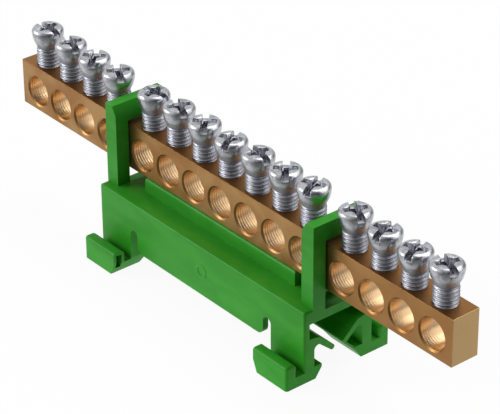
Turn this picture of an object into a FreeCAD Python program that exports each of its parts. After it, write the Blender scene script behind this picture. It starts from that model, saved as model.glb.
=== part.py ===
import FreeCAD, Part
import os
import Sketcher
from FreeCAD import Placement, Rotation, Vector

# Earth terminal bar: a brass bar with a row of clamp screws, carried in the two
# loops of a moulded holder that clips onto a narrow rail.
# X runs along the bar, Z is up, and the origin is under the middle of the four feet.

doc = FreeCAD.newDocument("EarthTerminalBar")
sheet = doc.addObject("Spreadsheet::Sheet", "Sizes")

# Driving sizes in millimetres, each with what it measures.
SIZES = [
    ("bar_width", 6.4, "brass bar, across"),
    ("bar_height", 10.0, "brass bar, top to bottom"),
    ("bar_end_margin", 5.25, "last screw axis to the end of the bar"),
    ("screw_pitch", 8.0, "screw axis to screw axis inside a group"),
    ("loop_spacing", 11.5, "screw axis to screw axis across a loop"),
    ("wire_hole_diameter", 6.4, "wire hole through the bar"),
    ("wire_hole_drop", 5.6, "wire hole axis below the top of the bar"),
    ("wire_hole_chamfer", 0.3, "chamfer at both mouths of a wire hole"),
    ("thread_diameter", 5.0, "tapped hole for a clamp screw"),
    ("thread_clearance", 0.05, "screw shank to the wall of its tapped hole"),
    ("head_diameter", 6.6, "screw head at its widest"),
    ("head_height", 3.8, "screw head, underside to top"),
    ("head_cone", 1.5, "height of the cone under the head"),
    ("head_rise", 4.2, "underside of the head above the bar"),
    ("tip_gap", 0.75, "tip of a screw at mean height above its wire hole"),
    ("slot_width", 1.4, "driving slot across the whole head"),
    ("slot_depth", 1.3, "depth of the driving slot"),
    ("cross_width", 1.4, "width of an arm of the cross recess at its mouth"),
    ("cross_length", 4.7, "length of the cross recess"),
    ("cross_flare", 1.25, "start of the slanted corners between its arms, from the axis"),
    ("cross_depth", 2.1, "depth of the cross recess"),
    ("cross_taper", 9.0, "taper of its walls in degrees"),
    ("holder_width", 17.0, "holder, front wall to back wall"),
    ("wall_thickness", 1.3, "front and back walls of the holder"),
    ("plate_height", 15.5, "top of the holder's plate above the feet"),
    ("plate_thickness", 2.9, "plate of the holder"),
    ("skirt_height", 4.85, "lower edge of the walls above the feet"),
    ("skirt_round", 1.7, "lower corners of the walls"),
    ("relief_width", 2.25, "relief slot between a wall and a leg"),
    ("relief_height", 9.4, "closed end of the relief slot above the feet"),
    ("rib_height", 3.1, "bar seat above the plate"),
    ("rib_width", 7.2, "bar seat, across"),
    ("rib_gap", 5.2, "end of the bar seat to the loop"),
    ("rib_round", 0.6, "upper edges of the bar seat"),
    ("loop_thickness", 3.3, "loop along the bar"),
    ("post_thickness", 3.0, "post of a loop, across"),
    ("bar_side_gap", 0.25, "bar to the post of a loop"),
    ("bar_head_gap", 0.75, "bar to the cross beam of a loop"),
    ("beam_height", 3.75, "cross beam of a loop"),
    ("window_sink", 1.0, "floor of the loop's window below the plate's top"),
    ("beam_bevel_run", 1.1, "bevel on the inner side of a beam, along the bar"),
    ("beam_bevel_drop", 1.9, "bevel on the inner side of a beam, downwards"),
    ("leg_width", 9.7, "leg of a foot, along the bar"),
    ("leg_thickness", 2.5, "lower part of a leg"),
    ("hook_reach", 4.35, "outer face of the release hook beyond the wall"),
    ("lip_thickness", 2.6, "upright lip of the release hook"),
    ("lip_height", 5.1, "top of the lip above the feet"),
    ("lip_round", 0.9, "inner upper edge of the lip"),
    ("hook_round", 0.6, "outer upper edge and outer upright corner of the hook"),
    ("pocket_floor", 2.3, "floor of the screwdriver pocket above the feet"),
    ("core_depth", 2.2, "coring in the inner end of the lip"),
    ("core_rim", 0.65, "rim round that coring"),
    ("end_taper_run", 1.1, "taper at the inner end of a foot, along the bar"),
    ("end_taper_rise", 2.6, "taper at the inner end of a foot, upwards"),
    ("catch_height", 2.8, "top of the catch above the feet"),
    ("catch_reach", 1.85, "tip of the catch beyond the leg"),
    ("catch_nose", 0.65, "upright face at the tip of the catch"),
    ("catch_bevel", 1.55, "width of the bevel under the catch"),
    ("tongue_thickness", 1.1, "spring tongue"),
    ("tongue_root", 9.3, "upper face of the tongue at the leg above the feet"),
    ("tongue_bend", 1.25, "bend of the tongue from the leg"),
    ("tongue_dip", 0.65, "fall of the tongue from the leg to its bend"),
    ("tongue_crown", 0.85, "top of the tongue's bend above its middle line"),
    ("tongue_tip", 5.05, "middle of the tongue's tip above the feet"),
    ("tongue_gap", 1.2, "middle of the tongue's tip from the middle plane"),
    ("tongue_round", 0.5, "both edges of the tongue's tip"),
    ("armpit_round", 1.0, "inner corner under the tongue"),
    ("edge_round", 0.45, "upper outer edges of the plate and upright corners of its walls"),
]
for row, (alias, amount, meaning) in enumerate(SIZES, start=1):
    sheet.set(f"A{row}", meaning)
    sheet.set(f"B{row}", str(amount))
    sheet.setAlias(f"B{row}", alias)
doc.recompute()

# How far each screw is backed out from its mean height, in millimetres, and how
# its slot stands to the bar, in degrees, from the left end of the bar.
SCREW_LIFTS = [0.35, 0.1, 0.1, -0.05, -0.15, 0.1, 0.0, -0.3, 0.05, 0.1, 0.35, 0.15, -0.3, -0.55, 0.3]
SCREW_TURNS = [0, -18, -47, -29, 11, -22, -44, -62, -9, -43, -66, -23, -74, -69, -21]

# Places that follow from the sizes.
HOLDER_HALF = "(Sizes.holder_width / 2)"
WALL_INSIDE = f"({HOLDER_HALF} - Sizes.wall_thickness)"
LEG_INSIDE = f"({HOLDER_HALF} - Sizes.leg_thickness)"
PLATE_UNDER = "(Sizes.plate_height - Sizes.plate_thickness)"
BAR_UNDER = "(Sizes.plate_height + Sizes.rib_height)"
BAR_TOP = f"({BAR_UNDER} + Sizes.bar_height)"
INNER_GROUP = "(3 * Sizes.screw_pitch)"
OUTER_GROUP = f"({INNER_GROUP} + Sizes.loop_spacing)"
BAR_HALF = f"({OUTER_GROUP} + 3 * Sizes.screw_pitch + Sizes.bar_end_margin)"
LOOP_MIDDLE = f"({INNER_GROUP} + Sizes.loop_spacing / 2)"
LOOP_INSIDE = f"({LOOP_MIDDLE} - Sizes.loop_thickness / 2)"
HOLDER_END = f"({LOOP_MIDDLE} + Sizes.loop_thickness / 2)"
WINDOW_HALF = "(Sizes.bar_width / 2 + Sizes.bar_side_gap)"
WINDOW_FLOOR = "(Sizes.plate_height - Sizes.window_sink)"
BEAM_UNDER = f"({BAR_TOP} + Sizes.bar_head_gap)"
BEAM_TOP = f"({BEAM_UNDER} + Sizes.beam_height)"
LEG_START = f"({HOLDER_END} - Sizes.leg_width)"
WALL_END = f"({LEG_START} - Sizes.relief_width)"
HOOK_OUTSIDE = f"({HOLDER_HALF} + Sizes.hook_reach)"
LIP_INSIDE = f"({HOOK_OUTSIDE} - Sizes.lip_thickness)"
CATCH_TIP = f"({LEG_INSIDE} - Sizes.catch_reach)"
RIB_HALF = f"({LOOP_INSIDE} - Sizes.rib_gap)"
CORE_UNDER = "(Sizes.end_taper_rise / 2)"
SHANK_DEPTH = "(Sizes.wire_hole_drop - Sizes.wire_hole_diameter / 2 - Sizes.tip_gap)"

# The spring tongue is a strip of even thickness that bends down towards its tip.
TONGUE_BEND = f"({LEG_INSIDE} - Sizes.tongue_bend)"
TONGUE_BEND_HEIGHT = "(Sizes.tongue_root - Sizes.tongue_thickness / 2 - Sizes.tongue_dip)"
TONGUE_SLOPE = f"(({TONGUE_BEND_HEIGHT} - Sizes.tongue_tip) / ({TONGUE_BEND} - Sizes.tongue_gap))"
TONGUE_STRETCH = f"sqrt(1 + {TONGUE_SLOPE} ^ 2)"
TONGUE_LEAN = f"Sizes.tongue_thickness / 2 * {TONGUE_SLOPE} / {TONGUE_STRETCH}"
TONGUE_DROP = f"Sizes.tongue_thickness / 2 / {TONGUE_STRETCH}"
TONGUE_UNDER = f"({TONGUE_BEND_HEIGHT} - Sizes.tongue_thickness / 2)"
TONGUE_ELBOW = f"({TONGUE_BEND_HEIGHT} - Sizes.tongue_thickness / 2 * {TONGUE_STRETCH})"
TONGUE_LOW = (f"(Sizes.tongue_gap + {TONGUE_LEAN})", f"(Sizes.tongue_tip - {TONGUE_DROP})")
TONGUE_HIGH = (f"(Sizes.tongue_gap - {TONGUE_LEAN})", f"(Sizes.tongue_tip + {TONGUE_DROP})")

# Cuts reach this far in all, so that they pass through the whole holder.
THROUGH = "(2 * Sizes.holder_width)"
# An outline that cuts a corner off runs this far past the faces, in millimetres.
SPARE = 1.0
# A round end takes nearly half of its slot's width, so a sliver of flat is left.
ROUND_SHARE = 0.49
TOL = 1e-4


def number(formula):
    """Value of a formula on the sheet."""
    return float(sheet.evalExpression(str(formula)))


def plane(body, role):
    """One of the body's own origin planes."""
    return [item for item in body.Origin.OriginFeatures if item.Role == role][0]


def bind(thing, prop, formula):
    """Ties a property to the sheet."""
    thing.setExpression(prop, str(formula))


def new_sketch(body, name, role, offset="0"):
    """Sketch on an origin plane of the body, moved along the plane's normal."""
    sketch = body.newObject("Sketcher::SketchObject", name)
    sketch.AttachmentSupport = [(plane(body, role), "")]
    sketch.MapMode = "FlatFace"
    sketch.AttachmentOffset = Placement(Vector(0, 0, number(offset)), Rotation())
    if offset != "0":
        bind(sketch, "AttachmentOffset.Base.z", offset)
    return sketch


def pin_point(sketch, edge, end, across, up):
    """Holds one point of the sketch at two formulas."""
    for kind, formula in (("DistanceX", across), ("DistanceY", up)):
        size = number(formula)
        index = sketch.addConstraint(Sketcher.Constraint(kind, -1, 1, edge, end, size))
        bind(sketch, f"Constraints[{index}]", formula)


def outline(sketch, corners):
    """Closed outline through corners given as pairs of formulas."""
    spots = [Vector(number(across), number(up), 0) for across, up in corners]
    first = sketch.GeometryCount
    count = len(spots)
    for i in range(count):
        sketch.addGeometry(Part.LineSegment(spots[i], spots[(i + 1) % count]))
    for i in range(count):
        following = first + (i + 1) % count
        sketch.addConstraint(Sketcher.Constraint("Coincident", first + i, 2, following, 1))
    for i, (across, up) in enumerate(corners):
        pin_point(sketch, first + i, 1, across, up)


def rectangle(sketch, left, right, low, high):
    """Rectangle between four formulas."""
    outline(sketch, [(left, low), (right, low), (right, high), (left, high)])


def circle(sketch, across, up, radius):
    """Circle with its centre and radius tied to formulas."""
    centre = Vector(number(across), number(up), 0)
    edge = sketch.addGeometry(Part.Circle(centre, Vector(0, 0, 1), number(radius)))
    pin_point(sketch, edge, 3, across, up)
    index = sketch.addConstraint(Sketcher.Constraint("Radius", edge, number(radius)))
    bind(sketch, f"Constraints[{index}]", radius)


def pad(body, name, sketch, length, both_ways=False):
    """Pad of a sketch along its normal, or half each way."""
    feature = body.newObject("PartDesign::Pad", name)
    feature.Profile = sketch
    feature.Midplane = both_ways
    feature.Length = number(length)
    bind(feature, "Length", length)
    doc.recompute()
    return feature


def pocket(body, name, sketch, depth, both_ways=False, turned=False, taper="0"):
    """Pocket of a sketch that has to take material away; its walls may taper inwards."""
    before = body.Shape.Volume
    feature = body.newObject("PartDesign::Pocket", name)
    feature.Profile = sketch
    feature.Midplane = both_ways
    feature.Reversed = turned
    feature.Length = number(depth)
    bind(feature, "Length", depth)
    if taper != "0":
        feature.TaperAngle = -number(taper)
        bind(feature, "TaperAngle", f"-{taper}")
    doc.recompute()
    if body.Shape.Volume > before - TOL:
        raise RuntimeError(f"{name} cuts nothing")
    return feature


def mirror(body, name, features, role):
    """Mirrored copies of features across an origin plane."""
    feature = body.newObject("PartDesign::Mirrored", name)
    feature.Originals = features
    feature.MirrorPlane = (plane(body, role), [""])
    body.Tip = feature
    doc.recompute()
    return feature


def edges_where(shape, test):
    """Names of the edges whose two ends and middle pass a test."""
    names = []
    for index, edge in enumerate(shape.Edges, start=1):
        middle = edge.valueAt((edge.FirstParameter + edge.LastParameter) / 2)
        spots = [vertex.Point for vertex in edge.Vertexes] + [middle]
        if all(test(spot) for spot in spots):
            names.append(f"Edge{index}")
    return names


def along_x(places):
    """Test for edges along the bar at pairs of formulas: out from the middle, up."""
    spots = [(number(out), number(up)) for out, up in places]

    def test(point):
        return any(abs(abs(point.y) - out) < TOL and abs(point.z - up) < TOL for out, up in spots)

    return test


def across_y(places):
    """Test for edges across the holder at pairs of formulas: along from the middle, up."""
    spots = [(number(along), number(up)) for along, up in places]

    def test(point):
        return any(abs(abs(point.x) - along) < TOL and abs(point.z - up) < TOL for along, up in spots)

    return test


def upright(along, out):
    """Test for upright edges at two formulas: along from the middle, out from it."""
    place = (number(along), number(out))

    def test(point):
        return abs(abs(point.x) - place[0]) < TOL and abs(abs(point.y) - place[1]) < TOL

    return test


def dress(body, kind, name, test, size):
    """Fillet or chamfer on the edges of the body's last feature that pass a test."""
    base = body.Tip
    names = edges_where(base.Shape, test)
    if not names:
        raise RuntimeError(f"{name} finds no edge")
    feature = body.newObject(f"PartDesign::{kind}", name)
    feature.Base = (base, names)
    prop = "Radius" if kind == "Fillet" else "Size"
    setattr(feature, prop, number(size))
    bind(feature, prop, size)
    doc.recompute()
    if feature.Shape.isNull():
        raise RuntimeError(f"{name} did not build")
    return feature


def new_body(name):
    """Body whose label names the piece and its file."""
    body = doc.addObject("PartDesign::Body", name)
    body.Label = name
    return body


def foot_outline(side):
    """Section of a leg with its hook, catch and tongue; side is -1 in front, 1 behind.

    It runs from the outer face of the wall down to the screwdriver pocket, round
    the hook and the catch, up the leg and round the spring tongue.
    """
    corners = [
        (HOLDER_HALF, PLATE_UNDER),
        (HOLDER_HALF, "Sizes.pocket_floor"),
        (LIP_INSIDE, "Sizes.pocket_floor"),
        (LIP_INSIDE, "Sizes.lip_height"),
        (HOOK_OUTSIDE, "Sizes.lip_height"),
        (HOOK_OUTSIDE, "0"),
        (f"({CATCH_TIP} + Sizes.catch_bevel)", "0"),
        (CATCH_TIP, "(Sizes.catch_height - Sizes.catch_nose)"),
        (CATCH_TIP, "Sizes.catch_height"),
        (LEG_INSIDE, "Sizes.catch_height"),
        (LEG_INSIDE, TONGUE_UNDER),
        (TONGUE_BEND, TONGUE_ELBOW),
        TONGUE_LOW,
        TONGUE_HIGH,
        (TONGUE_BEND, f"({TONGUE_BEND_HEIGHT} + Sizes.tongue_crown)"),
        (WALL_INSIDE, "Sizes.tongue_root"),
        (WALL_INSIDE, PLATE_UNDER),
    ]
    return [(f"{side} * {out}", up) for out, up in corners]


def make_holder():
    """Moulded holder: channel body, bar seat, two loops and four clip feet."""
    body = new_body("holder")

    channel = new_sketch(body, "channel_section", "YZ_Plane")
    outline(channel, [
        (f"-{HOLDER_HALF}", "Sizes.skirt_height"),
        (f"-{WALL_INSIDE}", "Sizes.skirt_height"),
        (f"-{WALL_INSIDE}", PLATE_UNDER),
        (WALL_INSIDE, PLATE_UNDER),
        (WALL_INSIDE, "Sizes.skirt_height"),
        (HOLDER_HALF, "Sizes.skirt_height"),
        (HOLDER_HALF, "Sizes.plate_height"),
        (f"-{HOLDER_HALF}", "Sizes.plate_height"),
    ])
    pad(body, "channel", channel, f"2 * {HOLDER_END}", both_ways=True)

    reliefs = new_sketch(body, "relief_outline", "XZ_Plane")
    rectangle(reliefs, WALL_END, LEG_START, "0", "Sizes.relief_height")
    rectangle(reliefs, f"-{LEG_START}", f"-{WALL_END}", "0", "Sizes.relief_height")
    pocket(body, "reliefs", reliefs, THROUGH, both_ways=True)

    rib = new_sketch(body, "seat_outline", "XY_Plane", "Sizes.plate_height")
    rectangle(rib, f"-{RIB_HALF}", RIB_HALF, "-Sizes.rib_width / 2", "Sizes.rib_width / 2")
    pad(body, "bar_seat", rib, "Sizes.rib_height")

    feet = new_sketch(body, "foot_section", "YZ_Plane", LEG_START)
    outline(feet, foot_outline(-1))
    outline(feet, foot_outline(1))
    feet_pad = pad(body, "feet", feet, "Sizes.leg_width")

    loop = new_sketch(body, "loop_outline", "YZ_Plane", LOOP_INSIDE)
    post_outside = f"({WINDOW_HALF} + Sizes.post_thickness)"
    rectangle(loop, f"-{post_outside}", post_outside, PLATE_UNDER, BEAM_TOP)
    loop_pad = pad(body, "loop", loop, "Sizes.loop_thickness")

    window = new_sketch(body, "window_outline", "YZ_Plane", LOOP_INSIDE)
    rectangle(window, f"-{WINDOW_HALF}", WINDOW_HALF, WINDOW_FLOOR, BEAM_UNDER)
    window_cut = pocket(body, "window", window, "Sizes.loop_thickness", turned=True)

    bevel = new_sketch(body, "beam_bevel_outline", "XZ_Plane")
    outline(bevel, [
        (LOOP_INSIDE, f"({BEAM_TOP} - Sizes.beam_bevel_drop)"),
        (f"({LOOP_INSIDE} + Sizes.beam_bevel_run)", BEAM_TOP),
        (f"({LOOP_INSIDE} + Sizes.beam_bevel_run)", f"({BEAM_TOP} + {SPARE})"),
        (f"({LOOP_INSIDE} - {SPARE})", f"({BEAM_TOP} + {SPARE})"),
        (f"({LOOP_INSIDE} - {SPARE})", f"({BEAM_TOP} - Sizes.beam_bevel_drop)"),
    ])
    bevel_cut = pocket(body, "beam_bevel", bevel, THROUGH, both_ways=True)

    core = new_sketch(body, "lip_core_outline", "YZ_Plane", LEG_START)
    for side in (-1, 1):
        outline(core, [
            (f"{side} * ({LIP_INSIDE} + Sizes.core_rim)", CORE_UNDER),
            (f"{side} * ({HOOK_OUTSIDE} - Sizes.core_rim)", CORE_UNDER),
            (f"{side} * ({HOOK_OUTSIDE} - Sizes.core_rim)", "(Sizes.lip_height - Sizes.core_rim)"),
            (f"{side} * ({LIP_INSIDE} + Sizes.core_rim)", "(Sizes.lip_height - Sizes.lip_round)"),
        ])
    core_cut = pocket(body, "lip_core", core, "Sizes.core_depth", turned=True)

    halves = [feet_pad, loop_pad, window_cut, bevel_cut, core_cut]
    mirror(body, "other_end", halves, "YZ_Plane")

    relief_round = f"{ROUND_SHARE} * Sizes.relief_width"
    relief_ends = across_y([(WALL_END, "Sizes.relief_height"), (LEG_START, "Sizes.relief_height")])
    dress(body, "Fillet", "relief_ends", relief_ends, relief_round)
    skirts = across_y([(WALL_END, "Sizes.skirt_height")])
    dress(body, "Fillet", "skirt_corners", skirts, "Sizes.skirt_round")
    dress(body, "Fillet", "lip_edges", along_x([(LIP_INSIDE, "Sizes.lip_height")]), "Sizes.lip_round")
    dress(body, "Fillet", "hook_corners", upright(HOLDER_END, HOOK_OUTSIDE), "Sizes.hook_round")
    dress(body, "Fillet", "hook_edges", along_x([(HOOK_OUTSIDE, "Sizes.lip_height")]), "Sizes.hook_round")
    armpits = along_x([(LEG_INSIDE, TONGUE_UNDER)])
    dress(body, "Fillet", "armpits", armpits, "Sizes.armpit_round")
    dress(body, "Fillet", "tongue_tips", along_x([TONGUE_LOW, TONGUE_HIGH]), "Sizes.tongue_round")
    dress(body, "Fillet", "end_corners", upright(HOLDER_END, HOLDER_HALF), "Sizes.edge_round")
    shoulders = along_x([(HOLDER_HALF, "Sizes.plate_height")])
    dress(body, "Fillet", "shoulders", shoulders, "Sizes.edge_round")
    half_rib = number("Sizes.rib_width / 2")
    rib_top = number(BAR_UNDER)
    rib_end = number(RIB_HALF)

    def on_rib_top(point):
        inside = abs(point.x) < rib_end + TOL and abs(point.y) < half_rib + TOL
        return inside and abs(point.z - rib_top) < TOL

    dress(body, "Fillet", "seat_edges", on_rib_top, "Sizes.rib_round")

    taper = new_sketch(body, "foot_taper_outline", "XZ_Plane")
    for side in (-1, 1):
        outline(taper, [
            (f"{side} * {LEG_START}", "Sizes.end_taper_rise"),
            (f"{side} * ({LEG_START} - {SPARE})", "Sizes.end_taper_rise"),
            (f"{side} * ({LEG_START} - {SPARE})", f"-{SPARE}"),
            (f"{side} * ({LEG_START} + Sizes.end_taper_run)", f"-{SPARE}"),
            (f"{side} * ({LEG_START} + Sizes.end_taper_run)", "0"),
        ])
    pocket(body, "foot_taper", taper, THROUGH, both_ways=True)
    return body


def screw_places():
    """Formulas of the screw axes along the bar, from the left end to the right end."""
    middle = [f"{step} * Sizes.screw_pitch" for step in range(-3, 4)]
    right = [f"({OUTER_GROUP} + {step} * Sizes.screw_pitch)" for step in range(4)]
    left = [f"-{place}" for place in reversed(right)]
    return left + middle + right


def make_bar():
    """Brass bar with a tapped hole down into each wire hole."""
    body = new_body("terminal_bar")
    section = new_sketch(body, "bar_section", "YZ_Plane")
    rectangle(section, "-Sizes.bar_width / 2", "Sizes.bar_width / 2", BAR_UNDER, BAR_TOP)
    pad(body, "bar", section, f"2 * {BAR_HALF}", both_ways=True)

    wires = new_sketch(body, "wire_holes_outline", "XZ_Plane")
    hole_height = f"({BAR_TOP} - Sizes.wire_hole_drop)"
    for place in screw_places():
        circle(wires, place, hole_height, "Sizes.wire_hole_diameter / 2")
    pocket(body, "wire_holes", wires, THROUGH, both_ways=True)

    taps = new_sketch(body, "tapped_holes_outline", "XY_Plane", BAR_TOP)
    for place in screw_places():
        circle(taps, place, "0", "Sizes.thread_diameter / 2")
    pocket(body, "tapped_holes", taps, "Sizes.wire_hole_drop")

    half_width = number("Sizes.bar_width / 2")
    middle = number(hole_height)
    reach = number("Sizes.wire_hole_diameter / 2") + TOL
    end = number(BAR_HALF) - TOL

    def on_mouth(point):
        on_side = abs(abs(point.y) - half_width) < TOL
        return on_side and abs(point.z - middle) < reach and abs(point.x) < end

    dress(body, "Chamfer", "wire_hole_mouths", on_mouth, "Sizes.wire_hole_chamfer")
    return body


def make_screw(index, place):
    """Clamp screw with a slotted cross-recess head; its thread is left plain."""
    body = new_body(f"clamp_screw_{index + 1:02d}")
    shank = "(Sizes.thread_diameter / 2 - Sizes.thread_clearance)"
    head = "(Sizes.head_diameter / 2)"
    tip = f"-(Sizes.head_rise + {SHANK_DEPTH})"
    profile = new_sketch(body, f"screw_profile_{index + 1}", "XZ_Plane")
    outline(profile, [
        ("0", tip),
        (shank, tip),
        (shank, "0"),
        (head, "Sizes.head_cone"),
        (head, "Sizes.head_height"),
        ("0", "Sizes.head_height"),
    ])
    turned = body.newObject("PartDesign::Revolution", f"turned_{index + 1}")
    turned.Profile = profile
    turned.ReferenceAxis = (profile, ["V_Axis"])
    turned.Angle = 360
    doc.recompute()

    slot = new_sketch(body, f"slot_outline_{index + 1}", "XY_Plane", "Sizes.head_height")
    half_slot = "Sizes.slot_width / 2"
    rectangle(slot, "-Sizes.head_diameter", "Sizes.head_diameter", f"-{half_slot}", half_slot)
    pocket(body, f"slot_{index + 1}", slot, "Sizes.slot_depth")

    cross = new_sketch(body, f"cross_outline_{index + 1}", "XY_Plane", "Sizes.head_height")
    arm = "Sizes.cross_length / 2"
    half = "Sizes.cross_width / 2"
    flare = "Sizes.cross_flare"
    outline(cross, [
        (f"-{arm}", f"-{half}"), (f"-{flare}", f"-{half}"),
        (f"-{half}", f"-{flare}"), (f"-{half}", f"-{arm}"),
        (half, f"-{arm}"), (half, f"-{flare}"), (flare, f"-{half}"), (arm, f"-{half}"),
        (arm, half), (flare, half), (half, flare), (half, arm),
        (f"-{half}", arm), (f"-{half}", flare), (f"-{flare}", half), (f"-{arm}", half),
    ])
    pocket(body, f"cross_{index + 1}", cross, "Sizes.cross_depth", taper="Sizes.cross_taper")

    lift = SCREW_LIFTS[index]
    turn = Rotation(Vector(0, 0, 1), SCREW_TURNS[index])
    height = f"{BAR_TOP} + Sizes.head_rise + {lift}"
    body.Placement = Placement(Vector(number(place), 0, number(height)), turn)
    bind(body, "Placement.Base.x", place)
    bind(body, "Placement.Base.z", height)
    doc.recompute()
    return body


pieces = [make_holder(), make_bar()]
for index, place in enumerate(screw_places()):
    pieces.append(make_screw(index, place))
doc.recompute()

for item in doc.Objects:
    if "Invalid" in item.State or "Error" in item.State:
        raise RuntimeError(f"{item.Name} did not build: {item.State}")
os.makedirs("parts", exist_ok=True)
for piece in pieces:
    shape = piece.Shape
    if shape.isNull() or not shape.isValid() or len(shape.Solids) != 1:
        raise RuntimeError(f"{piece.Label} is not one sound solid")
    shape.exportStep(f"parts/{piece.Label}.step")
    box = shape.BoundBox
    print(f"{piece.Label:16s} volume {shape.Volume:9.2f}  x {box.XMin:7.2f} {box.XMax:7.2f}"
          f"  y {box.YMin:7.2f} {box.YMax:7.2f}  z {box.ZMin:7.2f} {box.ZMax:7.2f}")
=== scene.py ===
"""Earth terminal bar: a drilled brass bar with a row of clamp screws, carried in the
two loops of a green moulded holder.

X runs along the bar, Z is up and the feet of the holder stand at height nought.
Sizes are in metres, as everywhere in Blender.
"""
import math

import bmesh
import bpy
import numpy as np
from bpy.props import FloatProperty, FloatVectorProperty, IntProperty, PointerProperty
from mathutils import Matrix, Vector


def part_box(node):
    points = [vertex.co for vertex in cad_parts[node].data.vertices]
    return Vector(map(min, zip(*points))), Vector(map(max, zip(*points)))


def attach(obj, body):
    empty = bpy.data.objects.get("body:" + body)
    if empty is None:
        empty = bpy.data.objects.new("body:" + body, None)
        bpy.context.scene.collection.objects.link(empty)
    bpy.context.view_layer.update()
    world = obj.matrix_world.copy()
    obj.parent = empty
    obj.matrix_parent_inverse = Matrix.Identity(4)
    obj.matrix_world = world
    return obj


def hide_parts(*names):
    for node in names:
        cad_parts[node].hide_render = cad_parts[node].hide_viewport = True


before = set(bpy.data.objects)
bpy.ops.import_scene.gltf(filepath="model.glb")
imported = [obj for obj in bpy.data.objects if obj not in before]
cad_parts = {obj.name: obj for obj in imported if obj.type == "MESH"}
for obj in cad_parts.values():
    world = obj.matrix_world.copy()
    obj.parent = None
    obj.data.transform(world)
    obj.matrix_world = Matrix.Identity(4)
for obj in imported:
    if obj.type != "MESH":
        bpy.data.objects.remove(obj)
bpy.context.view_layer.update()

bl_info = {
    "name": "Earth Terminal Bar",
    "version": (1, 0, 0),
    "blender": (4, 5, 0),
    "location": "View3D > Sidebar > Terminal Bar",
    "description": "Dresses a brass terminal bar, its clamp screws and its moulded holder",
    "category": "Add Mesh",
}

MM = 0.001
# Points of a mesh that lie closer than this are one.
WELD = 0.0005 * MM
# How each screw's slot stands to the bar, in degrees, from the left end.
SCREW_TURNS = (0, -18, -47, -29, 11, -22, -44, -62, -9, -43, -66, -23, -74, -69, -21)
# Middle of the round mark on the outer face of the front wall.
MARK_SPOT = (0.9 * MM, -8.5 * MM, 10.2 * MM)
# Shares of one thread pitch at which the flank, crest and root change direction.
TOOTH_SHARES = np.array([0.0, 0.094, 0.25, 0.406, 0.5, 0.594, 0.75, 0.906])
# Section of a screw head in millimetres: radius over the neck's or the head's, and height.
NECK_SECTION = ((-0.12, -0.45), (0.0, 0.0), (0.32, 0.6))
HEAD_SECTION = ((-0.27, 1.2), (-0.10, 1.9), (-0.02, 2.5))

# Where a finish changes on the bar, as a soft step from one place to another in
# millimetres: depth from the middle of the bar, heights, and distance along it.
BORE_MOUTH = (2.95, 2.85)
BORE_FLOOR = (19.7, 19.9)
BORE_ROOF = (26.3, 26.5)
TOP_FACE = (28.3, 28.55)
LAST_BORE = (64.4, 64.6)
SAWN_FACE = (64.62, 64.72)
OUTER_HOLES = (33.0, 36.0)
# Drill rings: radians to the millimetre along a hole.
RING_RATE = 11.5
# Height over which painted shade darkens the shanks towards the bar.
SHANK_FOOT = (28.4, 31.4)

# Directions from the part: level towards the viewer, to the bright side of the sky,
# and to the patch of it that only metal mirrors.
VIEWER_SIDE = (0.77, -0.635, 0.0)
BRIGHT_SIDE = (-0.94, -0.20, 0.28)
METAL_PATCH = (0.67, 0.55, 0.50)
DOWN = (0.0, 0.0, -1.0)
# Half the side of the floor, in metres.
FLOOR_REACH = 6.0


# ---------------------------------------------------------------- settings

class HolderSettings(bpy.types.PropertyGroup):
    """Sizes and colours of the moulded holder."""

    edge_round: FloatProperty(
        name="Edge Round", description="Radius on the outer edges of the moulding",
        default=0.18 * MM, min=0.0, soft_max=1.0 * MM, unit="LENGTH", precision=5)
    mark_radius: FloatProperty(
        name="Mark Radius", description="Crest of the mould's round mark on the front wall",
        default=1.25 * MM, min=0.0, unit="LENGTH", precision=5)
    mark_width: FloatProperty(
        name="Mark Width", description="Foot to foot of the round mark's rim",
        default=1.0 * MM, min=0.0, unit="LENGTH", precision=5)
    mark_height: FloatProperty(
        name="Mark Height", description="Rise of the round mark's rim over the wall",
        default=0.16 * MM, min=0.0, unit="LENGTH", precision=5)
    colour: FloatVectorProperty(
        name="Green", description="Colour of the moulding in plain light",
        subtype="COLOR", size=3, min=0.0, max=1.0, default=(0.035, 0.305, 0.020))
    deep_colour: FloatVectorProperty(
        name="Deep Green", description="Darker green where the moulding flowed",
        subtype="COLOR", size=3, min=0.0, max=1.0, default=(0.024, 0.262, 0.013))
    roughness: FloatProperty(
        name="Roughness", description="Roughness of the moulded skin",
        default=0.36, min=0.0, max=1.0, subtype="FACTOR")


class BarSettings(bpy.types.PropertyGroup):
    """Sizes and colours of the brass bar."""

    edge_round: FloatProperty(
        name="Edge Round", description="Radius on the long edges and the sawn ends",
        default=0.14 * MM, min=0.0, soft_max=1.0 * MM, unit="LENGTH", precision=5)
    colour: FloatVectorProperty(
        name="Brass", description="Colour of the drawn brass",
        subtype="COLOR", size=3, min=0.0, max=1.0, default=(0.48, 0.28, 0.11))
    # Tarnish in patches, and also painted shade on the top face of the bar.
    tarnish_and_shade: FloatVectorProperty(
        name="Tarnish", description="Redder, duller brass in patches",
        subtype="COLOR", size=3, min=0.0, max=1.0, default=(0.35, 0.165, 0.050))
    bore_colour: FloatVectorProperty(
        name="Drilled Brass", description="Fresh brass inside the drilled holes",
        subtype="COLOR", size=3, min=0.0, max=1.0, default=(0.66, 0.46, 0.26))
    end_colour: FloatVectorProperty(
        name="Sawn Brass", description="Paler brass on the sawn ends",
        subtype="COLOR", size=3, min=0.0, max=1.0, default=(0.56, 0.38, 0.18))
    drill_ridges: FloatProperty(
        name="Drill Ridges", description="Height of the rings that the drill left",
        default=0.028 * MM, min=0.0, soft_max=0.2 * MM, unit="LENGTH", precision=6)


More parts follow.
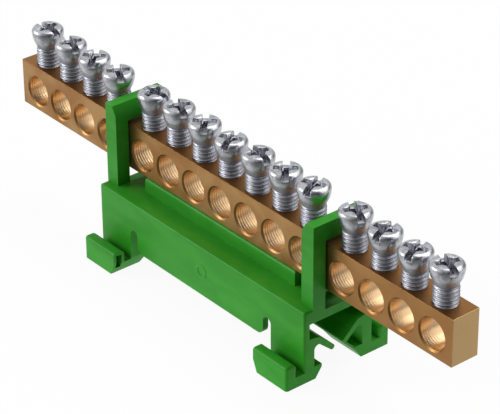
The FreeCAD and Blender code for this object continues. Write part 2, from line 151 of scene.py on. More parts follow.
class ScrewSettings(bpy.types.PropertyGroup):
    """Sizes and colours of a clamp screw."""

    head_diameter: FloatProperty(
        name="Head Diameter", description="Widest part of the head",
        default=6.6 * MM, min=1.0 * MM, unit="LENGTH", precision=5)
    head_height: FloatProperty(
        name="Head Height", description="Underside of the cone to the top",
        default=3.8 * MM, min=1.0 * MM, unit="LENGTH", precision=5)
    head_cone: FloatProperty(
        name="Cone Height", description="Height of the cone under the head",
        default=1.5 * MM, min=0.1 * MM, unit="LENGTH", precision=5)
    head_round: FloatProperty(
        name="Head Round", description="Radius on the head's upper edge",
        default=0.9 * MM, min=0.05 * MM, unit="LENGTH", precision=5)
    slot_width: FloatProperty(
        name="Slot Width", description="Width of the driving slot",
        default=1.4 * MM, min=0.1 * MM, unit="LENGTH", precision=5)
    slot_depth: FloatProperty(
        name="Slot Depth", description="Depth of the driving slot",
        default=1.3 * MM, min=0.1 * MM, unit="LENGTH", precision=5)
    cross_width: FloatProperty(
        name="Cross Width", description="Width of an arm of the cross recess at its mouth",
        default=1.4 * MM, min=0.1 * MM, unit="LENGTH", precision=5)
    cross_length: FloatProperty(
        name="Cross Length", description="Arm tip to arm tip at the mouth of the recess",
        default=4.7 * MM, min=0.5 * MM, unit="LENGTH", precision=5)
    cross_flare: FloatProperty(
        name="Cross Flare", description="Start of the slanted corners between the arms",
        default=1.25 * MM, min=0.1 * MM, unit="LENGTH", precision=5)
    cross_depth: FloatProperty(
        name="Cross Depth", description="Depth of the cross recess",
        default=2.1 * MM, min=0.1 * MM, unit="LENGTH", precision=5)
    cross_taper: FloatProperty(
        name="Cross Taper", description="Lean of the walls of the cross recess",
        default=math.radians(9.0), min=0.0, subtype="ANGLE")
    edge_round: FloatProperty(
        name="Edge Round", description="Radius on the edges of the slot and the recess",
        default=0.10 * MM, min=0.0, unit="LENGTH", precision=5)
    thread_diameter: FloatProperty(
        name="Thread Diameter", description="Crest to crest of the thread",
        default=4.9 * MM, min=0.5 * MM, unit="LENGTH", precision=5)
    thread_depth: FloatProperty(
        name="Thread Depth", description="Crest to root of the thread",
        default=0.42 * MM, min=0.0, unit="LENGTH", precision=5)
    thread_pitch: FloatProperty(
        name="Thread Pitch", description="Crest to next crest",
        default=0.8 * MM, min=0.1 * MM, unit="LENGTH", precision=5)
    tip_chamfer: FloatProperty(
        name="Tip Chamfer", description="Chamfer at the tip of the thread",
        default=0.5 * MM, min=0.0, unit="LENGTH", precision=5)
    steps: IntProperty(
        name="Steps", description="Points round the head and round the thread",
        default=64, min=12, max=128)
    colour: FloatVectorProperty(
        name="Zinc", description="Colour of the zinc plating",
        subtype="COLOR", size=3, min=0.0, max=1.0, default=(0.57, 0.59, 0.62))
    dull_colour: FloatVectorProperty(
        name="Dull Zinc", description="Greyer patches of the plating",
        subtype="COLOR", size=3, min=0.0, max=1.0, default=(0.39, 0.395, 0.43))
    # Painted shade deep in the slot and the recess, given as a darker plating colour.
    recess_shade_colour: FloatVectorProperty(
        name="Recess Zinc", description="Dark plating deep in the slot and the recess",
        subtype="COLOR", size=3, min=0.0, max=1.0, default=(0.15, 0.155, 0.19))
    # Painted shade on the cone under the head, given as a darker plating colour.
    neck_shade_colour: FloatVectorProperty(
        name="Neck Zinc", description="Plating on the cone under the head",
        subtype="COLOR", size=3, min=0.0, max=1.0, default=(0.34, 0.35, 0.38))
    # Painted shade where the shank nears the bar; the whole thread also takes part of this
    # darker, bluer colour.
    shank_shade_colour: FloatVectorProperty(
        name="Shank Zinc", description="Darker, bluer plating where the shank nears the bar",
        subtype="COLOR", size=3, min=0.0, max=1.0, default=(0.19, 0.185, 0.25))


class StageSettings(bpy.types.PropertyGroup):
    """Camera, light and floor."""

    azimuth: FloatProperty(
        name="Azimuth", description="Direction of the view; nought looks along +Y",
        default=math.radians(50.606), subtype="ANGLE")
    elevation: FloatProperty(
        name="Elevation", description="Height of the camera above the horizon",
        default=math.radians(30.515), subtype="ANGLE")
    roll: FloatProperty(
        name="Roll", description="Turn of the camera about its own line of sight",
        default=math.radians(-0.379), subtype="ANGLE")
    focal_length: FloatProperty(
        name="Focal Length", description="Lens on a 36 mm wide sensor, in millimetres",
        default=183.34, min=10.0)
    distance: FloatProperty(
        name="Distance", description="Camera to the top of the bar along the view",
        default=486.306 * MM, min=0.1, unit="LENGTH", precision=5)
    aside: FloatProperty(
        name="Aside", description="Camera to the right of the bar's middle",
        default=3.844 * MM, unit="LENGTH", precision=5)
    above: FloatProperty(
        name="Above", description="Camera above the bar's middle, across the view",
        default=-5.769 * MM, unit="LENGTH", precision=5)
    shift_x: FloatProperty(
        name="Shift X", description="Sideways shift of the lens", default=-0.00341)
    shift_y: FloatProperty(
        name="Shift Y", description="Upward shift of the lens", default=-0.00851)
    sun_strength: FloatProperty(
        name="Sun Strength", description="Strength of the soft main light",
        default=1.28, min=0.0)
    sky_strength: FloatProperty(
        name="Sky Strength", description="Strength of the light from all round",
        default=0.55, min=0.0)
    fill_strength: FloatProperty(
        name="Fill Strength", description="Strength of the soft light from above and behind",
        default=1.3, min=0.0)
    whiteness: FloatProperty(
        name="Whiteness", description="How far the floor fades to plain white",
        default=0.93, min=0.0, max=1.0, subtype="FACTOR")
    floor_colour: FloatVectorProperty(
        name="Floor", description="Colour of the floor",
        subtype="COLOR", size=3, min=0.0, max=1.0, default=(0.93, 0.93, 0.93))
    far_colour: FloatVectorProperty(
        name="Far Floor", description="Floor beyond the bar's right end, as the light sees it",
        subtype="COLOR", size=3, min=0.0, max=1.0, default=(0.06, 0.06, 0.06))


# ---------------------------------------------------------------- shader sums

class Signal:
    """A shader socket that can stand in a sum; every operation adds one Math node."""

    def __init__(self, finish, socket):
        self.finish = finish
        self.socket = socket

    def apply(self, operation, *others):
        """Result of a Math operation on this socket and what follows it."""
        feeds = dict(enumerate((self,) + others))
        return self.finish.node("Math", {"operation": operation}, feeds)[0]

    def __add__(self, other):
        return self.apply("ADD", other)

    __radd__ = __add__

    def __mul__(self, other):
        return self.apply("MULTIPLY", other)

    __rmul__ = __mul__

    def __sub__(self, other):
        return self.apply("SUBTRACT", other)

    def __rsub__(self, other):
        return (self * -1.0) + other

    def __pow__(self, other):
        return self.apply("POWER", other)

    def __abs__(self):
        return self.apply("ABSOLUTE")

    def sine(self):
        """Sine of an angle in radians."""
        return self.apply("SINE")

    def larger(self, other):
        """The larger of two signals."""
        return self.apply("MAXIMUM", other)

    def step(self, start, end):
        """Nought before start, one after end and a soft S between them."""
        made = self.finish.node("MapRange", {"interpolation_type": "SMOOTHSTEP"},
                                {"Value": self, "From Min": start, "From Max": end})
        return made[0]


class Finish:
    """A node tree under construction."""

    def __init__(self, owner):
        owner.use_nodes = True
        self.tree = owner.node_tree
        self.tree.nodes.clear()

    def node(self, kind, settings=None, feeds=None):
        """Adds a node, applies its settings, feeds its sockets and returns its outputs."""
        made = self.tree.nodes.new(f"ShaderNode{kind}")
        for key, value in (settings or {}).items():
            setattr(made, key, value)
        for key, value in (feeds or {}).items():
            if isinstance(value, Signal):
                self.tree.links.new(value.socket, made.inputs[key])
            else:
                made.inputs[key].default_value = value
        return [Signal(self, socket) for socket in made.outputs]

    def place(self, stretch=(1.0, 1.0, 1.0)):
        """Object coordinates, output 3 of their node, in stretched millimetres."""
        spot = self.node("TexCoord")[3]
        scale = tuple(1.0 / MM * share for share in stretch)
        return self.node("VectorMath", {"operation": "MULTIPLY"}, {0: spot, 1: scale})[0]

    def axes(self):
        """X, Y and Z in millimetres."""
        return self.node("SeparateXYZ", feeds={0: self.place()})

    def noise(self, scale, detail=2.0, stretch=(1.0, 1.0, 1.0), distortion=0.0):
        """Noise between nought and one; scale is in waves to the millimetre."""
        feeds = {"Vector": self.place(stretch), "Scale": scale, "Detail": detail,
                 "Distortion": distortion}
        return self.node("TexNoise", feeds=feeds)[0]

    def mix(self, share, first, second):
        """Colour that goes from the first to the second as the share goes up.

        The node keeps its colours in inputs 6 and 7 and gives the result in output 2.
        """
        made = self.node("Mix", {"data_type": "RGBA"},
                         {0: share, 6: opaque(first), 7: opaque(second)})
        return made[2]

    def bump(self, height):
        """Normal of a surface raised by a height in millimetres."""
        return self.node("Bump", feeds={"Height": height, "Distance": MM})[0]

    def surface(self, feeds):
        """Joins a principled shader to the material's output."""
        shader = self.node("BsdfPrincipled", feeds=feeds)[0]
        self.node("OutputMaterial", feeds={"Surface": shader})


def opaque(colour):
    """A colour with an alpha of one; a socket stays as it is."""
    return colour if isinstance(colour, Signal) else (*colour, 1.0)


# ---------------------------------------------------------------- finishes

def moulding_finish(settings):
    """Green moulding: smooth, faintly uneven skin with streaks of the flow."""
    material = bpy.data.materials.new("green_moulding")
    finish = Finish(material)
    flow = finish.noise(0.16, detail=3.0, stretch=(0.5, 1.0, 1.4), distortion=0.6)
    skin = finish.noise(1.1, detail=2.0)
    grain = finish.noise(9.0, detail=1.0)
    finish.surface({
        "Base Color": finish.mix(flow.step(0.35, 0.7), settings.colour, settings.deep_colour),
        "Roughness": settings.roughness + (skin - 0.5) * 0.16,
        "Specular IOR Level": 0.16,
        "Normal": finish.bump(skin * 0.012 + grain * 0.0015),
    })
    return material


def brass_finish(settings):
    """Drawn brass: fine lines along the bar, rings inside the drilled holes.

    Masks tell the insides of the holes, the top and the two sawn ends from the rest. The top
    is darkened and reddened with painted shade.
    """
    material = bpy.data.materials.new("drawn_brass")
    finish = Finish(material)
    along, across, height = finish.axes()
    inside = abs(across).step(*BORE_MOUTH) * height.step(*BORE_FLOOR)
    inside = inside * (1.0 - height.step(*BORE_ROOF)) * (1.0 - abs(along).step(*LAST_BORE))
    end_face = abs(along).step(*SAWN_FACE)

    patches = finish.noise(0.09, detail=4.0, stretch=(1.0, 1.6, 1.6), distortion=0.8)
    lines = finish.noise(3.2, detail=3.0, stretch=(0.03, 1.0, 1.0))
    top = height.step(*TOP_FACE)
    # Tarnish along the drawn lines, redder and duller brass towards the right end, and painted
    # shade that gives the top face the full tarnish colour.
    streaks_and_top_shade = (lines * 0.25).larger(along.step(5.0, 62.0) * 0.75).larger(top)
    colour = finish.mix(patches.step(0.35, 0.7), settings.colour, settings.tarnish_and_shade)
    colour = finish.mix(streaks_and_top_shade, colour, settings.tarnish_and_shade)
    # Painted shade: the top face is darkened a further 15 per cent towards black.
    colour = finish.mix(top * 0.15, colour, (0.0, 0.0, 0.0))
    colour = finish.mix(inside * 0.9, colour, settings.bore_colour)
    colour = finish.mix(end_face * 0.9, colour, settings.end_colour)

    # The drill left its clearest rings in the holes between the loops.
    clear = 1.0 - abs(along - 4.0).step(*OUTER_HOLES) * 0.7
    wander = finish.noise(0.55, detail=2.0, distortion=0.4)
    rings = ((across * RING_RATE + wander * 4.0).sine() * 0.5 + 0.5) ** 2.0
    drilled = (rings * clear + wander * 0.8) * (settings.drill_ridges / MM)
    sawn = finish.noise(2.4, detail=3.0, stretch=(1.0, 1.0, 0.06)) * 0.016
    pits = finish.noise(7.0, detail=2.0).step(0.68, 0.8) * 0.006
    relief = drilled * inside + sawn * end_face - pits
    relief = relief + lines * 0.010 * (1.0 - inside) * (1.0 - end_face)
    finish.surface({
        "Base Color": colour,
        "Metallic": 0.96,
        "Roughness": (0.32 + patches * 0.10 + lines * 0.08
                      - inside * 0.12 + end_face * 0.06),
        "Normal": finish.bump(relief),
    })
    return material


def zinc_finish(settings):
    """Zinc plating: bright and mottled, with painted shade in the recesses, on the cone and
    where the shank nears the bar; cone and thread are rougher, the thread darker and bluer.
    """
    material = bpy.data.materials.new("zinc_plating")
    finish = Finish(material)
    mottle = finish.noise(0.9, detail=4.0, distortion=0.5)
    fine = finish.noise(6.0, detail=2.0)
    rubbed = finish.noise(2.2, detail=2.0, stretch=(1.0, 1.0, 0.25))
    thread, cone, sunk = [finish.node("Attribute", {"attribute_name": name})[2]
                          for name in ("thread", "cone", "sunk")]
    _, _, height = finish.axes()
    low = 1.0 - height.step(*SHANK_FOOT)
    colour = finish.mix(mottle.step(0.38, 0.68), settings.colour, settings.dull_colour)
    # Painted shade: the slot and the recess grow darker towards their floors.
    colour = finish.mix(sunk * 0.75, colour, settings.recess_shade_colour)
    # Painted shade darkens the shank towards the bar; the thread as a whole is also made
    # darker and bluer.
    colour = finish.mix((low * 0.45).larger(thread * 0.38), colour, settings.shank_shade_colour)
    # Painted shade on the cone under the head.
    colour = finish.mix(cone * 0.8, colour, settings.neck_shade_colour)
    relief = (mottle * 0.030 + fine * 0.004 + rubbed * 0.006) * (1.0 - thread * 0.7)
    finish.surface({
        "Base Color": colour,
        "Metallic": 1.0,
        "Roughness": 0.18 + mottle * 0.16 + fine * 0.05 + thread * 0.19 + cone * 0.28,
        "Normal": finish.bump(relief),
    })
    return material


def floor_finish(settings):
    """Pale floor: near white to the camera and open to what mirrors it.

    Light that strikes it near the holder comes back brighter, as from a light table,
    and beyond the bar's right end it falls on dark ground.
    """
    material = bpy.data.materials.new("pale_floor")
    finish = Finish(material)
    seen, _, bounced, mirrored = finish.node("LightPath")[:4]
    across, back, _ = finish.axes()
    near = (1.0 - abs(across).step(40.0, 76.0)) * (1.0 - abs(back).step(30.0, 90.0))
    far = (across * 0.77 - back * 0.64).step(46.0, 100.0) * (1.0 - seen)
    colour = finish.mix(far, settings.floor_colour, settings.far_colour)
    shader = finish.node("BsdfPrincipled", feeds={"Base Color": colour, "Roughness": 1.0,
                                                  "Specular IOR Level": 0.0})[0]
    layers = ((bounced * near * 0.6, "Emission", {"Strength": 1.7}),
              (seen * settings.whiteness, "Emission", {"Strength": 1.0}),
              (mirrored, "BsdfTransparent", {}))
    for share, kind, feeds in layers:
        layer = finish.node(kind, feeds=feeds)[0]
        shader = finish.node("MixShader", feeds={0: share, 1: shader, 2: layer})[0]
    finish.node("OutputMaterial", feeds={"Surface": shader})
    return material


def sky_finish(settings):
    """World that is white to the camera, pale on the left and dim on the right.

    Below the horizon it stands for the table top that metal mirrors, and a bright
    patch up behind the right end shows in metal alone.
    """
    world = bpy.data.worlds.new("sky")
    finish = Finish(world)
    ray = finish.node("TexCoord")[0]

    def towards(direction):
        """How far a ray of the sky points in a direction, from -1 to 1."""
        return finish.node("VectorMath", {"operation": "DOT_PRODUCT"},
                           {0: ray, 1: direction})[1]

    seen, _, _, mirrored = finish.node("LightPath")[:4]
    sky = (towards(BRIGHT_SIDE).step(-0.7, 0.9) * 1.45 + 0.06) * settings.sky_strength
    table = 0.88 - towards(VIEWER_SIDE).step(0.1, 0.85) * 0.68
    below = towards(DOWN).step(-0.02, 0.12)
    patch = towards(METAL_PATCH).step(0.82, 0.97) * mirrored * 1.7
    strength = (sky + (table - sky) * below + patch).larger(seen)
    background = finish.node("Background", feeds={"Color": (1.0, 1.0, 1.0, 1.0),
                                                  "Strength": strength})[0]
    finish.node("OutputWorld", feeds={"Surface": background})
    return world


# ---------------------------------------------------------------- meshes

def grid_faces(rows, columns):
    """Four-cornered faces of a grid whose last column joins the first.

    Face (i, j) joins points (i, j), (i, j+1), (i+1, j+1) and (i+1, j), with j
    counted round the ring; point (i, j) has the number i * columns + j.
    """
    row, column = np.meshgrid(np.arange(rows - 1), np.arange(columns), indexing="ij")
    following = (column + 1) % columns
    corners = (row * columns + column, row * columns + following,
               (row + 1) * columns + following, (row + 1) * columns + column)
    return np.stack(corners, axis=-1).reshape(-1, 4)


def closed_mesh(name, points, faces):
    """Mesh from points and faces, with doubles merged, ends closed and faces outward."""
    mesh = bpy.data.meshes.new(name)
    mesh.from_pydata(points.tolist(), [], faces.tolist())
    work = bmesh.new()
    work.from_mesh(mesh)
    bmesh.ops.remove_doubles(work, verts=work.verts, dist=WELD)
    bmesh.ops.holes_fill(work, edges=work.edges, sides=0)
    bmesh.ops.recalc_face_normals(work, faces=work.faces)
    work.to_mesh(mesh)
    work.free()
    return mesh


def lathe(name, profile, steps):
    """Turns pairs of radius and height about Z.

    Point (i, j) is (r_i cos a_j, r_i sin a_j, z_i), with the angles a_j spread
    evenly round the circle.
    """
    radius, height = np.array(profile).T
    angle = np.linspace(0.0, 2.0 * np.pi, steps, endpoint=False)
    points = np.empty((len(radius), steps, 3))
    points[:, :, 0] = np.outer(radius, np.cos(angle))
    points[:, :, 1] = np.outer(radius, np.sin(angle))
    points[:, :, 2] = height[:, None]
    return closed_mesh(name, points.reshape(-1, 3), grid_faces(len(radius), steps))


def prism(name, mouth, floor, top, bottom):
    """Cutter that goes from an outline at the top to another outline at the bottom.

    Its three rings of points are the mouth 1 mm above the top, the mouth at the top
    and the floor at the bottom.
    """
    rings = np.array([mouth, mouth, floor])
    heights = np.array([top + 1.0 * MM, top, bottom])
    points = np.empty((3, len(mouth), 3))
    points[:, :, :2] = rings
    points[:, :, 2] = heights[:, None]
    return closed_mesh(name, points.reshape(-1, 3), grid_faces(3, len(mouth)))


def cross_outline(settings, inset):
    """Outline of the cross recess, drawn in by an inset.

    One quarter runs from an arm over the slanted corner to the next arm, and is
    turned and mirrored into the other three.
    """
    arm = settings.cross_length / 2.0 - inset
    web = settings.cross_width / 2.0 - inset
    flare = settings.cross_flare - inset
    quarter = np.array([(web, arm), (web, flare), (flare, web), (arm, web)])
    turned = quarter[::-1] * (1.0, -1.0)
    return np.concatenate([quarter, turned, -quarter, -turned])


def thread(name, settings, tip, top):
    """Screw thread as one strip wound round the shank.

    At winding angle a and share s of the pitch, the height is
    tip + pitch (a / 2 pi - 1 + s) and the radius is the root plus the depth times a
    tooth: a triangle wave of s, 1.6 high and lowered by 0.3, cut flat at nought and
    one. Heights are held between tip and top, where the tooth fades into the root.
    The radius is held inside a chamfer at the tip, and what lies below the tip is
    drawn in to a flat end.
    """
    pitch = settings.thread_pitch
    root = settings.thread_diameter / 2.0 - settings.thread_depth
    turns = math.ceil((top - tip) / pitch) + 2
    steps = settings.steps
    wound = np.arange(turns * steps + 1) / steps
    share = TOOTH_SHARES
    height = tip + pitch * (wound[:, None] - 1.0 + share[None, :])
    tooth = np.clip(1.6 * (1.0 - np.abs(2.0 * share - 1.0)) - 0.3, 0.0, 1.0)
    fade = np.clip((top - height) / pitch, 0.0, 1.0)
    radius = root + settings.thread_depth * tooth[None, :] * fade
    height = np.clip(height, tip, top)
    chamfer = settings.thread_diameter / 2.0 - settings.tip_chamfer + (height - tip)
    radius = np.minimum(radius, np.maximum(chamfer, 0.0))
    radius = np.where(height <= tip, root - settings.thread_depth * 0.4, radius)
    angle = 2.0 * np.pi * wound[:, None]
    points = np.stack([radius * np.cos(angle), radius * np.sin(angle), height], axis=-1)

    count = len(share)
    row, column = np.meshgrid(np.arange(turns * steps), np.arange(count - 1), indexing="ij")
    inner = np.stack([row * count + column, (row + 1) * count + column,
                      (row + 1) * count + column + 1, row * count + column + 1], axis=-1)
    row = np.arange((turns - 1) * steps)
    last = row * count + count - 1
    after = (row + steps) * count
    seam = np.stack([last, last + count, after + count, after], axis=-1)
    faces = np.concatenate([inner.reshape(-1, 4), seam])
    return closed_mesh(name, points.reshape(-1, 3), faces)


def joined(name, meshes):
    """One mesh from several, each as a shell of its own."""
    work = bmesh.new()
    for mesh in meshes:
        work.from_mesh(mesh)
    whole = bpy.data.meshes.new(name)
    work.to_mesh(whole)
    work.free()
    return whole


def mould_mark(settings):
    """Low round rim on the front wall, where the mould's pin stood.

    Its section is a wave: at share t of half its width from the crest, from -1 to 1,
    it stands height (1 + cos pi t) / 2 above the wall. Its foot is sunk into the wall.
    """
    share = np.linspace(-1.0, 1.0, 11)
    sunk, foot = 0.01 * MM, -0.2 * MM
    radius = settings.mark_radius + settings.mark_width / 2.0 * share
    height = settings.mark_height * (1.0 + np.cos(np.pi * share)) / 2.0 - sunk
    profile = list(zip(radius, height)) + [(radius[-1], foot), (radius[0], foot),
                                           (radius[0], height[0])]
    mark = lathe("mould_mark", profile, steps=48)
    mark.transform(Matrix.Translation(MARK_SPOT) @ Matrix.Rotation(math.radians(90.0), 4, "X"))
    mark.shade_smooth()
    return mark


def new_object(name, mesh):
    """Object with a mesh, in the scene's own collection."""
    thing = bpy.data.objects.new(name, mesh)
    bpy.context.scene.collection.objects.link(thing)
    return thing


def finished_mesh(thing):
    """Mesh of an object with its modifiers applied."""
    ready = thing.evaluated_get(bpy.context.evaluated_depsgraph_get())
    return bpy.data.meshes.new_from_object(ready)


def mesh_arrays(mesh):
    """Points of a mesh and the point number of every corner of its faces."""
    points = np.empty(len(mesh.vertices) * 3)
    mesh.vertices.foreach_get("co", points)
    corners = np.empty(len(mesh.loops), dtype=np.int64)
    mesh.loops.foreach_get("vertex_index", corners)
    return points.reshape(-1, 3), corners


def welded_copy(node, name):
    """Copy of a CAD node with one point at each corner and flat faces joined."""
    points, corners = mesh_arrays(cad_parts[node].data)
    cells = np.round(points / WELD).astype(np.int64)
    _, first, number = np.unique(cells, axis=0, return_index=True, return_inverse=True)
    triangles = number.reshape(-1)[corners].reshape(-1, 3)
    ends = triangles[:, [1, 2, 0]]
    triangles = triangles[(triangles != ends).all(axis=1)]
    mesh = bpy.data.meshes.new(name)
    mesh.from_pydata(points[first].tolist(), [], triangles.tolist())
    work = bmesh.new()
    work.from_mesh(mesh)
    bmesh.ops.dissolve_limit(work, angle_limit=math.radians(0.4), verts=work.verts,
                             edges=work.edges)
    work.to_mesh(mesh)
    work.free()
    mesh.shade_smooth()
    return mesh


def round_edges(thing, radius, sharpness=None):
    """Bevel on the edges sharper than an angle in degrees, or else on the marked edges."""
    bevel = thing.modifiers.new("edge_round", "BEVEL")
    bevel.width = radius
    bevel.segments = 2
    bevel.harden_normals = True
    bevel.use_clamp_overlap = True
    if sharpness is None:
        bevel.limit_method = "WEIGHT"
    else:
        bevel.limit_method = "ANGLE"
        bevel.angle_limit = math.radians(sharpness)


def mark_box_edges(mesh):
    """Gives a bevel weight to the edges where two sides of the mesh's box meet."""
    points, _ = mesh_arrays(mesh)
    low, high = points.min(axis=0), points.max(axis=0)
    close = 0.01 * MM
    on_side = (np.abs(points - low) < close) | (np.abs(points - high) < close)
    ends = np.empty(len(mesh.edges) * 2, dtype=np.int64)
    mesh.edges.foreach_get("vertices", ends)
    ends = ends.reshape(-1, 2)
    shared = on_side[ends[:, 0]] & on_side[ends[:, 1]]
    marked = (shared.sum(axis=1) >= 2).astype(float)
    weight = mesh.attributes.new("bevel_weight_edge", "FLOAT", "EDGE")
    weight.data.foreach_set("value", marked)


def carve(thing, cutters):
    """Takes cutters away from an object, one Boolean modifier each."""
    for cutter in cutters:
        cut = thing.modifiers.new(cutter.name, "BOOLEAN")
        cut.operation = "DIFFERENCE"
        cut.object = cutter
        cut.solver = "EXACT"


def screw_head(settings):
    """Head of a clamp screw, with its underside at height nought.

    It is turned from its profile, whose upper edge is a quarter circle, then the slot
    and the cross recess are carved out of it and their edges are rounded.
    """
    wide = settings.head_diameter / 2.0
    neck = settings.thread_diameter / 2.0
    high = settings.head_height
    stub = -0.8 * MM
    arc = np.linspace(0.0, np.pi / 2.0, 7)
    inward = settings.head_round * (1.0 - np.cos(arc))
    downward = settings.head_round * (1.0 - np.sin(arc))
    profile = [(0.0, stub), (neck - settings.thread_depth, stub)]
    profile += [(neck + out * MM, up * MM) for out, up in NECK_SECTION]
    profile += [(wide + out * MM, up * MM) for out, up in HEAD_SECTION]
    profile += list(zip(wide - inward, high - downward)) + [(0.0, high)]
    head = new_object("head_blank", lathe("head_blank", profile, settings.steps))

    half, reach = settings.slot_width / 2.0, settings.head_diameter
    slot = [(-reach, -half), (reach, -half), (reach, half), (-reach, half)]
    depth = settings.cross_depth
    mouth = cross_outline(settings, 0.0)
    floor = cross_outline(settings, depth * math.tan(settings.cross_taper))
    cutters = [
        new_object("slot_cutter", prism("slot_cutter", slot, slot, high,
                                        high - settings.slot_depth)),
        new_object("cross_cutter", prism("cross_cutter", mouth, floor, high, high - depth)),
    ]
    carve(head, cutters)
    round_edges(head, settings.edge_round, sharpness=40.0)
    carved = finished_mesh(head)
    for helper in [head] + cutters:
        bpy.data.objects.remove(helper)
    return carved


def screw_mesh(settings, shank):
    """One clamp screw: its head and a real thread of a given length under it.

    Its points carry three shares for the plating. "sunk", which lays painted shade into
    the slot and the recess, grows inwards from 0.4 mm inside the rim, over 0.8 mm, and
    downwards from 0.2 mm below the top, over 0.9 mm; it is nought below the floors of
    the slot and the recess. "cone", which lays painted shade on the cone under the head,
    grows from the top of the cone to the neck, and "thread" is one on the thread.
    """
    head = screw_head(settings)
    mesh = joined("clamp_screw", (head, thread("thread", settings, -shank, -0.2 * MM)))
    points, _ = mesh_arrays(mesh)
    radius, height = np.hypot(points[:, 0], points[:, 1]), points[:, 2]
    on_thread = np.arange(len(points)) >= len(head.vertices)
    inward = np.clip((settings.head_diameter / 2.0 - 0.4 * MM - radius) / (0.8 * MM), 0.0, 1.0)
    downward = np.clip((settings.head_height - height) / (0.9 * MM) - 0.25, 0.0, 1.0)
    shares = {
        "sunk": inward * downward * (height > 0.5 * MM),
        "cone": np.clip(1.0 - height / settings.head_cone, 0.0, 1.0) * ~on_thread,
        "thread": on_thread,
    }
    for name, values in shares.items():
        share = mesh.attributes.new(name, "FLOAT", "POINT")
        share.data.foreach_set("value", values.astype(float))
    mesh.shade_smooth()
    mesh.set_sharp_from_angle(angle=math.radians(38.0))
    return mesh


def placed_copy(mesh, name, spot, turn):
    """Copy of a mesh turned about Z by an angle and moved to a spot, in its points."""
    copy = mesh.copy()
    copy.name = name
    points, _ = mesh_arrays(copy)
    cosine, sine = math.cos(turn), math.sin(turn)
    spin = np.array([[cosine, sine, 0.0], [-sine, cosine, 0.0], [0.0, 0.0, 1.0]])
    moved = points @ spin + np.array(spot)
    copy.vertices.foreach_set("co", moved.reshape(-1))
    copy.update()
    return copy


# ---------------------------------------------------------------- operators

class TERMINALBAR_OT_holder(bpy.types.Operator):
    """Dress the moulded holder: rounded edges, the mould's mark and a green skin."""

    bl_idname = "terminal_bar.holder"
    bl_label = "Dress Holder"
    bl_options = {"REGISTER", "UNDO"}

    def execute(self, context):
        settings = context.scene.terminal_bar_holder
        shells = (welded_copy("holder", "holder_blank"), mould_mark(settings))
        piece = new_object("moulded_holder", joined("moulded_holder", shells))
        round_edges(piece, settings.edge_round, sharpness=32.0)
        piece.data.materials.append(moulding_finish(settings))
        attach(piece, "root")
        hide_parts("holder")
        return {"FINISHED"}


class TERMINALBAR_OT_bar(bpy.types.Operator):
    """Dress the brass bar: rounded outer edges and drawn, drilled brass."""

    bl_idname = "terminal_bar.bar"
    bl_label = "Dress Bar"
    bl_options = {"REGISTER", "UNDO"}

    def execute(self, context):
        settings = context.scene.terminal_bar_bar
        mesh = welded_copy("terminal_bar", "brass_bar")
        mesh.set_sharp_from_angle(angle=math.radians(35.0))
        mark_box_edges(mesh)
        piece = new_object("brass_bar", mesh)
        round_edges(piece, settings.edge_round)
        piece.data.materials.append(brass_finish(settings))
        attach(piece, "root")
        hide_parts("terminal_bar")
        return {"FINISHED"}


class TERMINALBAR_OT_screws(bpy.types.Operator):
    """Build the clamp screws with real threads, slots and cross recesses."""

    bl_idname = "terminal_bar.screws"
    bl_label = "Build Screws"
    bl_options = {"REGISTER", "UNDO"}

    def execute(self, context):
        settings = context.scene.terminal_bar_screws
        low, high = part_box("clamp_screw_01")
        pattern = screw_mesh(settings, high.z - low.z - settings.head_height)
        plating = zinc_finish(settings)
        for number, turn in enumerate(SCREW_TURNS, start=1):
            node, name = f"clamp_screw_{number:02d}", f"zinc_screw_{number:02d}"
            low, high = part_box(node)
            spot = ((low.x + high.x) / 2.0, (low.y + high.y) / 2.0,
                    high.z - settings.head_height)
            piece = new_object(name, placed_copy(pattern, name, spot, math.radians(turn)))
            piece.data.materials.append(plating)
            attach(piece, "root")
            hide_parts(node)
        bpy.data.meshes.remove(pattern)
        return {"FINISHED"}


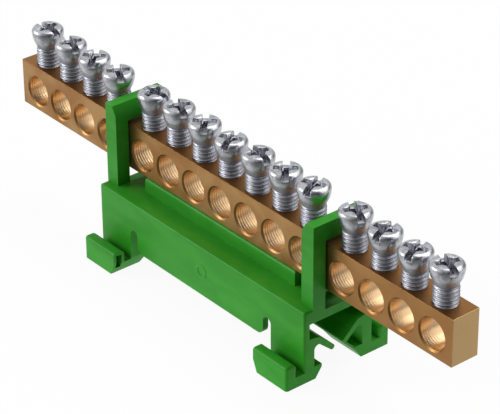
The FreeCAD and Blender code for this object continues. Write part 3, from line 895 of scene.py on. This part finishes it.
class TERMINALBAR_OT_stage(bpy.types.Operator):
    """Set up the camera at the photograph's angle, the soft light and the floor."""

    bl_idname = "terminal_bar.stage"
    bl_label = "Set Up Stage"
    bl_options = {"REGISTER", "UNDO"}

    def execute(self, context):
        settings = context.scene.terminal_bar_stage
        self.add_camera(context, settings)
        self.add_lamps(context, settings)
        context.scene.world = sky_finish(settings)
        half = FLOOR_REACH
        floor = bpy.data.meshes.new("floor")
        floor.from_pydata([(-half, -half, 0), (half, -half, 0), (half, half, 0),
                           (-half, half, 0)], [], [(0, 1, 2, 3)])
        floor.materials.append(floor_finish(settings))
        new_object("floor", floor)
        context.scene.view_settings.view_transform = "Standard"
        return {"FINISHED"}

    def add_camera(self, context, settings):
        """Camera whose line of sight passes the top of the bar's middle."""
        azimuth, elevation = settings.azimuth, settings.elevation
        ahead = Vector((-math.sin(azimuth) * math.cos(elevation),
                        math.cos(azimuth) * math.cos(elevation), -math.sin(elevation)))
        right = Vector((math.cos(azimuth), math.sin(azimuth), 0.0))
        up = right.cross(ahead)
        cosine, sine = math.cos(settings.roll), math.sin(settings.roll)
        right, up = right * cosine + up * sine, up * cosine - right * sine
        _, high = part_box("terminal_bar")
        aim = Vector((0.0, 0.0, high.z))
        spot = aim + right * settings.aside + up * settings.above - ahead * settings.distance
        lens = bpy.data.cameras.new("camera")
        lens.sensor_width = 36.0
        lens.lens = settings.focal_length
        lens.shift_x = settings.shift_x
        lens.shift_y = settings.shift_y
        camera = bpy.data.objects.new("camera", lens)
        camera.matrix_world = Matrix((
            (right.x, up.x, -ahead.x, spot.x), (right.y, up.y, -ahead.y, spot.y),
            (right.z, up.z, -ahead.z, spot.z), (0.0, 0.0, 0.0, 1.0)))
        context.scene.collection.objects.link(camera)
        context.scene.camera = camera

    def add_lamps(self, context, settings):
        """Two wide soft lights: strength, spread in degrees and direction of each."""
        lamps = (("front_left", settings.sun_strength, 24.0, (-0.64, -0.66, 0.40)),
                 ("behind", settings.fill_strength, 50.0, (0.02, 0.44, 0.90)))
        for name, strength, spread, direction in lamps:
            lamp = bpy.data.lights.new(name, "SUN")
            lamp.energy = strength
            lamp.angle = math.radians(spread)
            sun = bpy.data.objects.new(name, lamp)
            sun.rotation_euler = Vector(direction).to_track_quat("Z", "Y").to_euler()
            context.scene.collection.objects.link(sun)


class TERMINALBAR_PT_panel(bpy.types.Panel):
    """Sidebar panel with the operators and their settings."""

    bl_idname = "TERMINALBAR_PT_panel"
    bl_label = "Terminal Bar"
    bl_space_type = "VIEW_3D"
    bl_region_type = "UI"
    bl_category = "Terminal Bar"

    def draw(self, context):
        groups = ((TERMINALBAR_OT_holder, context.scene.terminal_bar_holder),
                  (TERMINALBAR_OT_bar, context.scene.terminal_bar_bar),
                  (TERMINALBAR_OT_screws, context.scene.terminal_bar_screws),
                  (TERMINALBAR_OT_stage, context.scene.terminal_bar_stage))
        for operator, settings in groups:
            box = self.layout.box()
            box.operator(operator.bl_idname)
            for name in settings.__annotations__:
                box.prop(settings, name)


SETTINGS = {
    "terminal_bar_holder": HolderSettings,
    "terminal_bar_bar": BarSettings,
    "terminal_bar_screws": ScrewSettings,
    "terminal_bar_stage": StageSettings,
}
PARTS = (TERMINALBAR_OT_holder, TERMINALBAR_OT_bar, TERMINALBAR_OT_screws,
         TERMINALBAR_OT_stage, TERMINALBAR_PT_panel)


def register():
    """Registers the classes and hangs the settings on the scene."""
    for group in SETTINGS.values():
        bpy.utils.register_class(group)
    for name, group in SETTINGS.items():
        setattr(bpy.types.Scene, name, PointerProperty(type=group))
    for part in PARTS:
        bpy.utils.register_class(part)


def unregister():
    """Takes everything away again."""
    for part in reversed(PARTS):
        bpy.utils.unregister_class(part)
    for name in SETTINGS:
        delattr(bpy.types.Scene, name)
    for group in reversed(SETTINGS.values()):
        bpy.utils.unregister_class(group)


def main():
    """Builds the whole object."""
    register()
    bpy.ops.terminal_bar.holder()
    bpy.ops.terminal_bar.bar()
    bpy.ops.terminal_bar.screws()
    bpy.ops.terminal_bar.stage()


if __name__ == "__main__":
    main()
